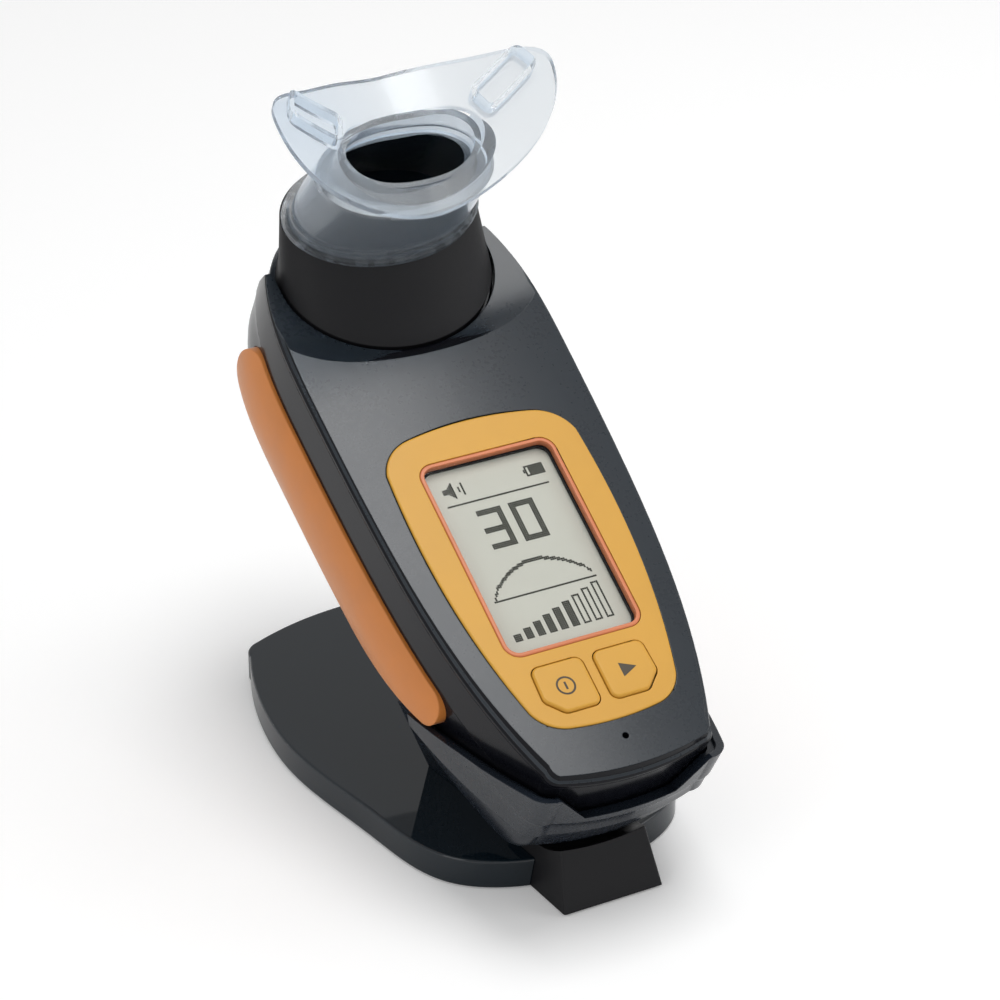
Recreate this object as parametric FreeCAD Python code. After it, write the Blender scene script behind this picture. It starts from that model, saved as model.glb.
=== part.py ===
import FreeCAD, Part
import math
import os
from FreeCAD import Placement, Rotation, Vector

# Inspiratory muscle trainer: a hand-held breathing trainer standing in its charging cradle.
# Millimetres. World frame: X to the handset's right, Y away from the user, Z up.
# The origin lies on the floor, under the middle of the base plate.
os.makedirs("parts", exist_ok=True)
# Handset frame: x across, y up along the body, z out of its face, zero at the display centre.

# Working values: a length past everything, a cutter's run past a face, and a small overlap
far = 100.0
past = 1.0
overlap = 0.2
tiny = 1e-4
arc_middle = 1 - math.sqrt(0.5)

# Pose of the handset in the cradle
lean_angle = 30.0
display_y = -34.0
display_height = 74.7

# Plan outline of the handset
foot_y = -58.5
foot_half_width = 21.8
foot_bow = 3.5
foot_corner_radius = 2.6
low_y = -25.0
low_half_width = 30.0
mid_y = 15.0
mid_half_width = 33.8
wide_y = 50.0
wide_half_width = 34.7
shoulder_y = 87.0
shoulder_half_width = 31.0
shoulder_turn = 0.95
crown_y = 99.0
crown_half_width = 24.4
crown_turn = 0.7
top_y = 107.5

# Depth of the handset and its parting planes
face_crown_radius = 420.0
face_crown_rise = 0.6
face_edge_radius = 1.0
cover_blank_height = 2.0
cover_blank_inset = 2.0
cover_depth = 3.0
frame_depth = 14.5
back_depth = 45.5
wall = 2.4
running_gap = 0.15
cup_gap = 0.4

# Back form: each level gives depth, width share, foot rise and top drop
back_levels = [
    (frame_depth, 1.0, 0.0, 0.0),
    (28.0, 0.985, 1.5, 0.5),
    (38.0, 0.90, 9.0, 4.5),
    (43.0, 0.76, 20.0, 12.5),
    (back_depth, 0.55, 34.0, 27.5),
]

# Side grips
grip_front_depth = 15.2
grip_back_depth = 37.5
grip_top_y = 83.0
grip_foot_y = -27.5
grip_top_radius = 9.6
grip_foot_radius = 5.2
grip_root_x = 20.0
grip_back_y = 39.5
grip_waist_y = 4.5
grip_waist_rise = 3.5
grip_tail_angle = 18.6
grip_bulge = 2.6
grip_thickness = 3.2

# Swell of the flanks under the grips: each level gives depth and share of the full bulge
grip_levels = [
    (13.5, 0.0),
    (19.5, 0.75),
    (28.0, 1.0),
    (34.5, 0.45),
    (39.5, -1.3),
]

# Hood, head joint and dished collar round the hood
hood_y = 84.0
hood_half_width = 27.2
hood_half_height = 22.9
hood_top_y = 94.3
hood_top_half_width = 25.6
hood_top_half_height = 16.6
hood_base_depth = 6.0
hood_straight_depth = 2.0
hood_top_height = 9.0
collar_half_width = 60.0
collar_half_height = 27.5
collar_depth = 2.2
head_gap = 0.8
head_inset = 1.6
head_joint_y = 89.0
ear_y = 95.0
ear_front_depth = 13.0
ear_back_depth = 27.0
ear_foot_depth = 33.0
head_pocket_depth = 34.5

# Spigot and air way
spigot_top_height = 29.0
spigot_base_y = 91.0
spigot_ring_y = 94.0
spigot_base_half_width = 22.6
spigot_base_half_height = 13.6
spigot_top_half_width = 21.4
spigot_top_half_height = 12.8
spigot_wall = 2.2
mouth_lean = 0.2
tunnel_half_width = 14.6
tunnel_low_y = 79.5
tunnel_high_y = 102.5
inlet_low_y = 91.6
shaft_end_y = 104.3
inlet_half_width = 13.0
inlet_front_depth = 30.0
chamber_floor = 2.0
grille_drop = 1.5
grille_rim = 1.2
grille_end = 1.0
slot_count = 6
slot_width = 1.8

# Flap valve and its drive
flap_depth = 18.0
flap_half_width = 13.6
flap_thickness = 1.6
flap_side_gap = 0.5
shaft_radius = 1.5
shaft_clearance = 0.05
dog_radius = 4.5
dog_thickness = 2.6
dog_gap = 0.3
dog_room_extra = 0.4
hub_wall = 1.1
coupling_extra = 0.6
tongue_clearance = 0.08
tongue_width = 2.0
tongue_length = 7.0
tongue_height = 1.7
motor_radius = 7.0
motor_length = 24.0
motor_gap = 0.2
motor_seat_wall = 2.0
motor_seat_setback = 8.0
motor_shaft_depth = 6.0
motor_bore_extra = 0.5

# Mouthpiece
skirt_gap = 0.3
skirt_wall = 1.6
skirt_bead = 1.0
bead_height = 1.8
step_height = 4.6
skirt_step = 0.7
neck_wall = 1.3
seat_reach = 0.6
neck_height = 33.0
neck_reach = 10.0
neck_half_width = 20.4
neck_half_height = 12.2
flange_height = 35.4
flange_thickness = 1.6
flange_curve = 0.0121
lip_rise = 2.6
lip_width = 1.7
lip_root = 6.0
mouth_reach = 20.0
shield_start_y = 40.0
shield_length = 100.0
shield_reach = 50.0
tab_x = 24.4
tab_y = 96.6
tab_length = 14.2
tab_width = 8.2
tab_corner_radius = 2.4
tab_wall = 1.3
tab_tilt = 22.0
tab_rise = 5.2

# Half of the shield's outline, from its top round to its foot
flange_outline = [
    (0.0, 109.7),
    (12.0, 109.0),
    (24.0, 105.7),
    (32.2, 102.2),
    (35.6, 98.3),
    (35.9, 93.2),
    (34.2, 87.6),
    (30.0, 82.4),
    (22.5, 78.1),
    (12.0, 75.0),
    (0.0, 73.5),
]

# Half of the mouth opening, from its flat top to its round foot, about the leaning axis
mouth_outline = [
    (0.0, 9.4),
    (8.0, 9.1),
    (13.4, 7.5),
    (16.6, 3.4),
    (14.8, -2.0),
    (8.8, -5.8),
    (0.0, -6.9),
]

# Bezel, window and display
bezel_height = 0.5
bezel_depth = 2.2
bezel_top_y = 36.5
bezel_top_bow = 1.6
bezel_top_half_width = 16.7
bezel_high_y = 27.0
bezel_high_half_width = 25.2
bezel_wide_y = 10.0
bezel_wide_half_width = 25.8
bezel_low_y = -28.0
bezel_low_half_width = 22.3
bezel_foot_y = -48.5
bezel_foot_half_width = 19.2
bezel_foot_corner_y = -41.2
bezel_foot_flat = 11.1
bezel_foot_bow = 0.9
bezel_corner_cut = 0.36
bezel_edge_radius = 0.45
bezel_gap = 0.1
lip_outer_width = 36.0
lip_outer_length = 54.4
lip_rim = 1.05
lip_height = 0.6
lip_depth = 1.2
lip_corner_radius = 4.0
ledge_width = 0.35
glass_top = 0.1
display_top_depth = 2.3
display_width = 34.0
display_length = 52.4
display_gap = 0.3
display_corner_radius = 1.5

# Buttons
button_inner = 1.4
button_outer = 14.9
button_top_y = -30.8
button_foot_y = -43.7
button_cut = 4.2
button_taper = 0.4
button_edge_radius = 0.7
button_flange_gap = 0.1
button_flange_thickness = 0.9
key_margin = 1.8
switch_gap = 0.1
button_corner_radius = 2.1
button_gap = 0.25
button_height = 1.1
button_flange = 0.8
button_travel = 0.6
stem_radius = 2.0
switch_size = 5.6
switch_height = 2.4
sound_hole_radius = 0.8
sound_hole_y = -53.0

# Board, battery and screws
board_top_depth = 9.0
board_thickness = 1.6
cavity_top_y = 55.0
cavity_back_depth = 40.0
board_share = 0.80
board_foot_rise = 9.0
board_top_gap = 3.0
battery_corner_radius = 3.0
battery_half_width = 17.0
battery_low_y = -30.0
battery_high_y = 20.0
battery_thickness = 9.0
boss_radius = 3.2
screw_radius = 1.25
screw_head_radius = 2.3
screw_head_height = 1.8
screw_seat_thickness = 3.0
screw_tip_gap = 1.5
drive_slot_width = 0.6
drive_slot_length = 3.4
drive_slot_depth = 0.8
screw_low_x = 21.0
screw_low_y = -25.0
screw_high_x = 22.5
screw_high_y = 44.0
sounder_radius = 5.0
sounder_height = 3.0
sounder_x = 14.0
sounder_y = 36.0

# Base plate
base_nose_y = -63.8
base_front_y = -61.7
base_front_half_width = 15.1
base_low_y = -52.8
base_low_half_width = 30.1
base_side_y = -26.5
base_side_half_width = 38.5
base_wide_y = 8.0
base_wide_half_width = 43.8
base_rear_y = 31.0
base_rear_half_width = 41.5
base_corner_y = 51.5
base_corner_half_width = 35.0
base_bend_x = 33.8
base_bend_y = 54.9
base_turn_x = 30.6
base_turn_y = 57.1
base_back_y = 63.4
base_height = 8.0
base_lift = 0.6
base_wall = 2.4
base_top_thickness = 2.2
base_edge_radius = 0.6
plate_thickness = 1.8
plate_gap = 0.15
pad_sheet_thickness = 1.2
pad_sheet_inset = 7.0
pad_block_gap = 1.0
pad_hole_gap = 0.5
ballast_thickness = 2.8
ballast_gap = 0.2
base_boss_radius = 3.0
base_screw_x = 26.0
base_screw_front_y = -34.0
base_screw_back_y = 40.0
base_screw_head_radius = 2.6
base_screw_head_height = 0.9
base_slot_depth = 0.4

# Cradle
rim_height = 40.2
cup_wall = 2.8
face_clearance = 6.0
bowl_wall = 1.3
rebate_width = 1.3
rebate_depth = 1.2
arm_tip_y = -37.0
arm_tip_height = 36.9
arm_slope = 0.275
notch_top_half_width = 20.5
notch_foot_half_width = 12.0
notch_depth = 8.6
notch_back_y = -70.0
pedestal_front_y = -60.0
pedestal_back_y = -15.5
pedestal_front_half_width = 11.5
pedestal_back_half_width = 17.6
pedestal_top_height = 34.0
pedestal_top_back_y = -22.0
pedestal_top_front_half_width = 18.0
pedestal_top_back_half_width = 29.0
block_front_y = -76.3
block_back_y = -50.0
block_foot_half_width = 13.2
block_back_flare = 2.2
block_lean = 0.37
block_taper = 0.14
block_top_height = 34.0
block_edge_radius = 0.6

# Charging contacts and power inlet
contact_y = -34.0
contact_x = 6.0
contact_half_width = 9.0
contact_half_length = 3.2
contact_foot_depth = 54.0
contact_top_depth = 39.5
contact_block_gap = 0.3
pad_radius = 2.2
pad_thickness = 1.6
pin_radius = 1.1
pin_clearance = 0.06
pin_gap = 0.15
pin_length = 5.6
pin_travel = 1.0
inlet_width = 9.0
inlet_height = 9.4
inlet_length = 11.0
jack_radius = 3.1
jack_depth = 8.5
jack_pin_radius = 1.0
jack_height = 5.2
inlet_setback = 1.2
charger_board_thickness = 1.2
charger_board_half_width = 10.0
charger_board_front_y = -50.0
charger_board_setback = 3.0
fit_gap = 0.1


def v(x, y, z):
    return Vector(x, y, z)


def box(x0, x1, y0, y1, z0, z1):
    return Part.makeBox(x1 - x0, y1 - y0, z1 - z0, v(x0, y0, z0))


def place_handset(shape):
    placed = shape.copy()
    lean = Placement(v(0, display_y, display_height), Rotation(v(1, 0, 0), lean_angle))
    placed.Placement = lean.multiply(placed.Placement)
    return placed


def spline(points):
    curve = Part.BSplineCurve()
    curve.interpolate(points)
    return curve.toShape()


def arc(a, b, c):
    return Part.Arc(a, b, c).toShape()


def prism(wire, height):
    return Part.Face(wire).extrude(v(0, 0, height))


def polygon_prism(points, z0, z1):
    wire = Part.makePolygon([v(x, y, z0) for x, y in points + points[:1]])
    return prism(wire, z1 - z0)


def side_prism(points, half_width):
    wire = Part.makePolygon([v(-half_width, y, z) for y, z in points + points[:1]])
    return Part.Face(wire).extrude(v(2 * half_width, 0, 0))


def ellipse_wire(half_width, half_height, center_y, z):
    if half_width >= half_height:
        ellipse = Part.Ellipse(v(half_width, 0, 0), v(0, half_height, 0), v(0, 0, 0))
    else:
        ellipse = Part.Ellipse(v(0, half_height, 0), v(-half_width, 0, 0), v(0, 0, 0))
    wire = Part.Wire([ellipse.toShape()])
    wire.translate(v(0, center_y, z))
    return wire


def ellipse_loft(sections):
    return Part.makeLoft([ellipse_wire(*section) for section in sections], True, True)


def upright_edges(solid):
    return [e for e in solid.Edges if abs(e.Vertexes[0].Z - e.Vertexes[1].Z) > tiny]


def rounded_rectangle(width, length, radius, z0, z1, center_y=0.0):
    solid = box(-width / 2, width / 2, center_y - length / 2, center_y + length / 2, z0, z1)
    return solid.makeFillet(radius, upright_edges(solid))


def edges_at_height(solid, z):
    return [e for e in solid.Edges if all(abs(p.z - z) < tiny for p in e.discretize(5))]


def fillet_at_height(solid, z, radius):
    return solid.makeFillet(radius, edges_at_height(solid, z))


def handset_wire(z, width_share=1.0, foot_rise=0.0, top_drop=0.0, grow=0.0):
    # Each point states how far it turns to the side, so that a grown outline keeps its gap
    low = foot_y - foot_bow
    foot = low + foot_rise - grow
    stretch = (top_y - top_drop + grow - foot) / (top_y - low)

    def at(x, y, side):
        return v(x * width_share + side * grow, foot + (y - low) * stretch, z)

    right = [
        (foot_half_width, foot_y + foot_corner_radius, 1.0),
        (low_half_width, low_y, 1.0),
        (mid_half_width, mid_y, 1.0),
        (wide_half_width, wide_y, 1.0),
        (shoulder_half_width, shoulder_y, shoulder_turn),
        (crown_half_width, crown_y, crown_turn),
    ]
    left = [(-x, y, -side) for x, y, side in reversed(right)]
    corner = foot_corner_radius
    inner_x = foot_half_width - corner
    mid_x = foot_half_width - corner * arc_middle
    bow = foot_bow * (1 - (inner_x / foot_half_width) ** 2)
    inner_y = foot_y - bow
    mid_corner_y = inner_y + corner * arc_middle + bow / 2
    around = spline([at(*point) for point in right + [(0, top_y, 0.0)] + left])
    left_corner = arc(at(*left[-1]), at(-mid_x, mid_corner_y, -1 + arc_middle), at(-inner_x, inner_y, 0.0))
    foot_arc = arc(at(-inner_x, inner_y, 0.0), at(0, low, 0.0), at(inner_x, inner_y, 0.0))
    right_corner = arc(at(inner_x, inner_y, 0.0), at(mid_x, mid_corner_y, 1 - arc_middle), at(*right[0]))
    return Part.Wire([around, left_corner, foot_arc, right_corner])


def handset_slab(z0, z1, grow=0.0):
    return prism(handset_wire(z0, grow=grow), z1 - z0)


def handset_back(grow=0.0):
    wires = []
    for depth, share, rise, drop in back_levels:
        extra = grow if depth > frame_depth else 0.0
        wires.append(handset_wire(-depth - extra, share, rise, drop, grow))
    return Part.makeLoft(wires, True, False)


def cavity(z0, z1):
    plan = handset_slab(z0, z1, -wall)
    return plan.common(box(-far, far, foot_y, cavity_top_y, z0, z1))


def back_cavity():
    room = box(-far, far, foot_y, cavity_top_y, -cavity_back_depth, -frame_depth)
    return handset_back(-wall).common(room)


def head_region(gap):
    # Everything that belongs to the valve head, with the joint gap taken off
    outer = hood_half_width + head_gap - gap
    rounded = prism(ellipse_wire(outer, hood_half_height + head_gap - gap, hood_y, 0), far)
    rounded.translate(v(0, 0, gap - head_pocket_depth))
    channel = box(-outer, outer, hood_y, 2 * far, gap - head_pocket_depth, far)
    joint = head_joint_y + gap
    ear = ear_y + gap
    above = side_prism([(joint, far), (joint, 0), (ear, -ear_front_depth), (ear, -ear_back_depth),
                        (joint, -ear_foot_depth), (joint, -far), (2 * far, -far), (2 * far, far)], far)
    return rounded.fuse([channel, above])


def collar_dish():
    low = (hood_half_width + head_gap, hood_half_height + head_gap, hood_y, -collar_depth)
    high = (collar_half_width, collar_half_height, hood_y, face_crown_rise + overlap)
    return ellipse_loft([low, high])


def screw_places():
    low = [(-screw_low_x, screw_low_y), (screw_low_x, screw_low_y)]
    high = [(-screw_high_x, screw_high_y), (screw_high_x, screw_high_y)]
    return low + high


def bezel_wire(z, inset=0.0):
    x_shoulder = bezel_high_half_width - inset
    x_wide = bezel_wide_half_width - inset
    x_low = bezel_low_half_width - inset
    x_foot = bezel_foot_half_width - inset
    top = bezel_top_y - inset
    foot = bezel_foot_y + inset
    share = 1 - inset / bezel_wide_half_width
    shoulder = v(x_shoulder, bezel_high_y, z)
    top_end = v(bezel_top_half_width * share, top - bezel_top_bow, z)
    foot_start = v(x_foot, bezel_foot_corner_y, z)
    foot_end = v(bezel_foot_flat * share, foot + bezel_foot_bow, z)

    def mirror(p):
        return v(-p.x, p.y, p.z)

    def corner(upright, level):
        # Middle of a round corner between a point on the side and one on the end
        return v(upright.x + bezel_corner_cut * (level.x - upright.x),
                 level.y + bezel_corner_cut * (upright.y - level.y), z)

    top_mid = corner(shoulder, top_end)
    foot_mid = corner(foot_start, foot_end)
    right_side = [shoulder, v(x_wide, bezel_wide_y, z), v(x_low, bezel_low_y, z), foot_start]
    edges = [
        arc(mirror(top_end), v(0, top, z), top_end),
        arc(top_end, top_mid, shoulder),
        spline(right_side),
        arc(foot_start, foot_mid, foot_end),
        arc(foot_end, v(0, foot, z), mirror(foot_end)),
        arc(mirror(foot_end), mirror(foot_mid), mirror(foot_start)),
        spline([mirror(p) for p in reversed(right_side)]),
        arc(mirror(shoulder), mirror(top_mid), mirror(top_end)),
    ]
    return Part.Wire(edges)


def button_solid(side, z0, z1, grow=0.0):
    inner = button_inner - grow
    outer = button_outer + grow
    top = button_top_y + grow
    foot = button_foot_y - grow
    cut = button_cut
    points = [(inner, top), (outer - button_taper, top), (outer, foot + cut), (outer - cut, foot),
              (inner, foot)]
    solid = polygon_prism([(side * x, y) for x, y in points], z0, z1)
    return solid.makeFillet(button_corner_radius + grow, upright_edges(solid))


def front_cover():
    side = -face_edge_radius - 2 * face_crown_rise
    turn = side + (1 - arc_middle) * face_edge_radius
    levels = [(-cover_depth, 0.0), (side, 0.0), (turn, -arc_middle * face_edge_radius),
              (side + face_edge_radius, -face_edge_radius), (cover_blank_height, -cover_blank_inset)]
    wires = [handset_wire(z, grow=amount) for z, amount in levels]
    cover = Part.makeLoft(wires, True, True)
    crown_axis = face_crown_rise - face_crown_radius
    crown = Part.makeCylinder(face_crown_radius, 3 * far, v(0, -far, crown_axis), v(0, 1, 0))
    cover = cover.common(crown)
    cover = cover.cut(collar_dish())
    cover = cover.cut(head_region(0.0))
    recess = prism(bezel_wire(-bezel_depth, -bezel_gap), far)
    window = rounded_rectangle(display_width + 2 * display_gap, display_length + 2 * display_gap,
                               display_corner_radius + display_gap, -far, far)
    span = button_outer + key_margin
    keys = box(-span, span, button_foot_y - key_margin, button_top_y + key_margin, -far, far)
    sound = Part.makeCylinder(sound_hole_radius, 2 * far, v(0, sound_hole_y, -far))
    return cover.cut([recess, window, keys, sound])


def mid_frame():
    frame = handset_slab(-frame_depth, -cover_depth)
    frame = frame.cut([head_region(0.0), cavity(-frame_depth - past, -cover_depth + past)])
    return frame.cut(drive_bore())


def drive_bore():
    # Hole for the drive, from the handset's cavity up into the pocket for the valve head
    start = v(0, cavity_top_y - past, -flap_depth)
    return Part.makeCylinder(dog_radius + dog_gap, hood_y - cavity_top_y, start, v(0, 1, 0))


def grip_outline(side, grow=0.0):
    # Long teardrop seen from the side, drawn in the plane of the body's flank
    x = side * grip_root_x
    front = -(grip_front_depth - grow)
    back = -(grip_back_depth + grow)
    top = grip_top_y + grow
    foot = grip_foot_y - grow
    low_r = grip_foot_radius + grow
    high_r = grip_top_radius + grow
    front_low = v(x, foot + low_r, front)
    front_high = v(x, top - high_r, front)
    back_high = v(x, top - high_r, front - 2 * high_r)
    tail = math.radians(grip_tail_angle)
    back_low = v(x, foot + low_r * (1 - math.sin(tail)), front - low_r * (1 + math.cos(tail)))
    edges = [
        Part.LineSegment(front_low, front_high).toShape(),
        arc(front_high, v(x, top, front - high_r), back_high),
        spline([back_high, v(x, grip_back_y, back), v(x, grip_waist_y, back + grip_waist_rise), back_low]),
        arc(back_low, v(x, foot, front - low_r), front_low),
    ]
    return Part.Face(Part.Wire(edges)).extrude(v(side * far, 0, 0))


def bulged_body(extra):
    wires = [handset_wire(-depth, grow=grip_bulge * share + extra) for depth, share in grip_levels]
    return Part.makeLoft(wires, True, False)


def grip(side):
    return grip_outline(side).common(bulged_body(0.0)).cut(bulged_body(-grip_thickness))


def grip_pockets():
    pockets = []
    for side in (-1, 1):
        pocket = grip_outline(side, running_gap).cut(bulged_body(-grip_thickness - running_gap))
        pockets.append(pocket)
    return pockets


def rear_cover():
    cover = handset_back().cut(head_region(0.0))
    inside = back_cavity()
    seat = motor_seat()
    columns = []
    for x, y in screw_places():
        height = cavity_back_depth - board_top_depth - board_thickness
        columns.append(Part.makeCylinder(boss_radius, height, v(x, y, -cavity_back_depth)))
    cover = cover.cut(inside.cut([seat] + columns))
    cover = cover.cut(grip_pockets())
    for x, y in screw_places():
        hole = Part.makeCylinder(screw_radius + running_gap, far, v(x, y, -far))
        head = Part.makeCylinder(screw_head_radius + running_gap, far, v(x, y, screw_seat() - far))
        cover = cover.cut([hole, head])
    pads = [pad_disc(side, fit_gap) for side in (-1, 1)]
    return cover.cut([drive_bore()] + pads)


def screw_seat():
    return -cavity_back_depth + screw_seat_thickness


def motor_seat():
    # Saddle that holds the motor from below, open where its leads come out
    top = motor_top_y()
    half = motor_radius + motor_seat_wall
    block = box(-half, half, top - motor_length, top - motor_seat_setback, -cavity_back_depth, -flap_depth)
    start = v(0, top - far, -flap_depth)
    bore = Part.makeCylinder(motor_radius + shaft_clearance, 2 * far, start, v(0, 1, 0))
    return block.cut(bore)


def back_depth_at(x, y):
    ray = Part.makeLine(v(x, y, -frame_depth - past), v(x, y, -far))
    return -handset_back().common(ray).BoundBox.ZMin


def pad_disc(side, grow=0.0):
    depth = back_depth_at(side * contact_x, contact_y)
    return Part.makeCylinder(pad_radius + grow, pad_thickness + 2 * past,
                             v(side * contact_x, contact_y, -depth - 2 * past))


def charge_pads():
    return Part.makeCompound([pad_disc(side).common(handset_back()) for side in (-1, 1)])


def inlet_solid():
    # Duct from the flap chamber out through the back of the head
    return box(-inlet_half_width, inlet_half_width, inlet_low_y, tunnel_high_y, -far, -inlet_front_depth)


def flap_chamber():
    low = -head_pocket_depth + chamber_floor
    return box(-tunnel_half_width, tunnel_half_width, tunnel_low_y, tunnel_high_y, low, 0)


def spigot_sections(wall_share, low_extra=0.0, high_extra=0.0):
    top_y = spigot_ring_y - mouth_lean * (spigot_top_height - hood_top_height)
    base = (spigot_base_half_width - wall_share, spigot_base_half_height - wall_share)
    top = (spigot_top_half_width - wall_share, spigot_top_half_height - wall_share)
    low = (base[0], base[1], spigot_base_y, -hood_base_depth - low_extra)
    middle = (base[0], base[1], spigot_ring_y, hood_top_height)
    high_y = top_y - mouth_lean * high_extra
    high = (top[0], top[1], high_y, spigot_top_height + high_extra)
    return low, middle, high


def spigot_outer():
    low, middle, high = spigot_sections(0.0)
    return ellipse_loft([low, middle]).fuse(ellipse_loft([middle, high]))


def spigot_bore():
    low, middle, high = spigot_sections(spigot_wall, 1.0, 1.0)
    return ellipse_loft([low, middle]).fuse(ellipse_loft([middle, high]))


def head_body():
    slab = handset_slab(-frame_depth, -hood_base_depth, -head_inset)
    solid = handset_back(-head_inset).fuse(slab).common(head_region(running_gap))
    return solid.cut([flap_chamber(), inlet_solid()])


def valve_head_shell():
    solid = head_body().fuse(spigot_outer()).cut([spigot_bore(), flap_chamber()])
    solid = solid.cut(shaft_bores()).cut(grille_space(0.0))
    return solid.removeSplitter()


def shaft_bores():
    foot = hood_y - hood_half_height - past
    dog_room = Part.makeCylinder(dog_radius + dog_gap, dog_room_length() + past,
                                 v(0, foot, -flap_depth), v(0, 1, 0))
    length = shaft_end_y + dog_gap - foot
    shaft_room = Part.makeCylinder(shaft_radius + shaft_clearance, length,
                                   v(0, foot, -flap_depth), v(0, 1, 0))
    return [dog_room, shaft_room]


def dog_room_length():
    return dog_thickness + 2 * dog_gap + dog_room_extra


def driven_dog_y():
    return hood_y - hood_half_height + 2 * dog_gap


def hood():
    base = (hood_half_width, hood_half_height, hood_y)
    low = base + (-hood_base_depth,)
    middle = base + (-hood_straight_depth,)
    high = (hood_top_half_width, hood_top_half_height, hood_top_y, hood_top_height)
    outside = ellipse_loft([low, middle]).fuse(ellipse_loft([middle, high]))
    lower, upper, end = spigot_sections(-running_gap, 0.0, 1.0)
    inside = ellipse_loft([lower, upper]).fuse(ellipse_loft([upper, end]))
    return outside.cut(inside).removeSplitter()


def grille_plane():
    return -head_pocket_depth - grille_drop


def grille_space(grow):
    rim = grille_rim + grow
    return box(-inlet_half_width - rim, inlet_half_width + rim, inlet_low_y - rim, tunnel_high_y + rim,
               -far, grille_plane())


def inlet_grille():
    plate = grille_space(-running_gap).common(handset_back(-head_inset))
    pitch = 2 * inlet_half_width / slot_count
    for i in range(slot_count):
        x = -inlet_half_width + (i + 0.5) * pitch
        slot = box(x - slot_width / 2, x + slot_width / 2, inlet_low_y + grille_end,
                   tunnel_high_y - grille_end, -far, 0)
        plate = plate.cut(slot)
    return plate


def tongue(y0):
    half = tongue_width / 2
    reach = tongue_length / 2
    return box(-reach, reach, y0, y0 + tongue_height, -flap_depth - half, -flap_depth + half)


def flap_shaft():
    y0 = driven_dog_y()
    axis = v(0, 1, 0)
    dog = Part.makeCylinder(dog_radius, dog_thickness, v(0, y0, -flap_depth), axis)
    shaft = Part.makeCylinder(shaft_radius, shaft_end_y - y0, v(0, y0, -flap_depth), axis)
    return dog.fuse([shaft, tongue(y0 - tongue_height)]).removeSplitter()


def valve_flap():
    low = tunnel_low_y + flap_side_gap
    high = tunnel_high_y - flap_side_gap
    half = flap_thickness / 2
    axis = v(0, 1, 0)
    plate = box(-flap_half_width, flap_half_width, low, high, -flap_depth - half, -flap_depth + half)
    hub = Part.makeCylinder(shaft_radius + hub_wall, high - low, v(0, low, -flap_depth), axis)
    bore = Part.makeCylinder(shaft_radius, high - low + 2 * past, v(0, low - past, -flap_depth), axis)
    return plate.fuse(hub).cut(bore).removeSplitter()


def motor_coupling():
    y1 = driven_dog_y() - dog_gap
    y0 = y1 - dog_thickness - coupling_extra
    axis = v(0, 1, 0)
    dog = Part.makeCylinder(dog_radius, y1 - y0, v(0, y0, -flap_depth), axis)
    half = tongue_width / 2 + tongue_clearance
    slot = box(-far, far, y1 - tongue_height, y1 + past, -flap_depth - half, -flap_depth + half)
    dog = dog.cut(slot)
    foot = motor_top_y() - motor_shaft_depth
    shaft = Part.makeCylinder(shaft_radius, y0 - foot, v(0, foot, -flap_depth), axis)
    return dog.fuse(shaft).removeSplitter()


def motor_top_y():
    return cavity_top_y - motor_gap


def valve_motor():
    top = motor_top_y()
    axis = v(0, 1, 0)
    body = Part.makeCylinder(motor_radius, motor_length, v(0, top - motor_length, -flap_depth), axis)
    depth = motor_shaft_depth + motor_bore_extra
    start = v(0, top - depth, -flap_depth)
    bore = Part.makeCylinder(shaft_radius + shaft_clearance, depth + past, start, axis)
    return body.cut(bore)


def mouth_center(z):
    return spigot_ring_y - mouth_lean * (z - hood_top_height)


def skirt_section(z, half_width, half_height):
    return (half_width, half_height, mouth_center(z), z)


def skirt_outside():
    base_w = spigot_base_half_width + skirt_gap + skirt_wall
    base_h = spigot_base_half_height + skirt_gap + skirt_wall
    z0 = hood_top_height
    z1 = z0 + bead_height
    z2 = z0 + step_height
    bead = [skirt_section(z, base_w + skirt_bead, base_h + skirt_bead) for z in (z0, z1)]
    band = [skirt_section(z, base_w, base_h) for z in (z1, z2)]
    shoulder = skirt_gap + neck_wall
    cone = [
        skirt_section(z2, base_w - skirt_step, base_h - skirt_step),
        skirt_section(spigot_top_height + 2 * seat_reach, spigot_top_half_width + shoulder,
                      spigot_top_half_height + shoulder),
        skirt_section(neck_height, neck_half_width, neck_half_height),
        skirt_section(neck_height + neck_reach, neck_half_width, neck_half_height),
    ]
    neck = ellipse_loft(cone).common(shield_space(flange_curve, -far, flange_thickness / 2))
    return ellipse_loft(bead).fuse([ellipse_loft(band), neck])


def skirt_inside():
    low, middle, high = spigot_sections(-skirt_gap, 0.0, seat_reach)
    start = hood_top_height - past
    bottom = (middle[0], middle[1], mouth_center(start), start)
    seat = ellipse_loft([bottom, high])
    bore = mouth_prism(high[3] - overlap, 0.0)
    above_rim = mouth_prism(flange_height, lip_width).common(shield_space(0.0, lip_rise, far))
    return seat.fuse([bore, above_rim])


def mirrored_outline(points, center_y, z):
    right = [v(x, center_y + y, z) for x, y in points]
    left = [v(-p.x, p.y, z) for p in reversed(right[1:-1])]
    curve = Part.BSplineCurve()
    curve.interpolate(right + left, True)
    return Part.Wire([curve.toShape()])


def mouth_wire(z, grow=0.0):
    share_x = 1 + grow / mouth_outline[3][0]
    share_y = 1 + grow / mouth_outline[0][1]
    grown = [(x * share_x, y * share_y) for x, y in mouth_outline]
    return mirrored_outline(grown, mouth_center(z), z)


def mouth_prism(start, grow):
    end = flange_height + mouth_reach
    return Part.makeLoft([mouth_wire(z, grow) for z in (start, end)], True, True)


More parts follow.
